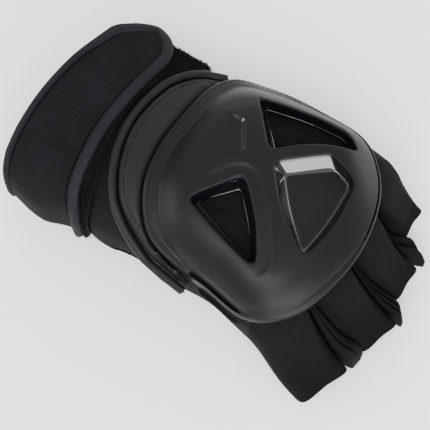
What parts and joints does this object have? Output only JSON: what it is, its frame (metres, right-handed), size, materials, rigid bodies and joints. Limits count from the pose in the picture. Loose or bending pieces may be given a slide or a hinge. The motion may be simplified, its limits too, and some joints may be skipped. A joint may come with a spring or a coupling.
{
  "type": "field hockey glove",
  "caption": "Left-hand field hockey glove with short fingers, a moulded guard on the back and a closing wrist strap, lying palm down.",
  "frame": {"origin": "on the surface that the glove lies on, under the middle of its box", "axes": "+X towards the fingers, -Y towards the thumb side, +Z out of the back of the hand"},
  "size_m": [0.1906, 0.1198, 0.0604],
  "materials": {
    "neoprene": "matte",
    "stretch_cloth": "matte",
    "synthetic_leather": "satin",
    "moulded_shell": "satin",
    "loop_pile": "matte",
    "bound_edge": "matte"
  },
  "bodies": {
    "root": {"hand_sleeve": "neoprene", "finger_index": "stretch_cloth", "finger_middle": "stretch_cloth", "finger_ring": "stretch_cloth", "finger_little": "stretch_cloth", "gusset_index_middle": "stretch_cloth", "gusset_middle_ring": "stretch_cloth", "gusset_ring_little": "stretch_cloth", "guard_base": "stretch_cloth", "guard_shell": "moulded_shell", "cuff_pad": "synthetic_leather", "cuff_piping": "synthetic_leather", "loop_band": "loop_pile", "wrist_strap": "neoprene", "strap_binding": "bound_edge"}
  },
  "joints": []
}
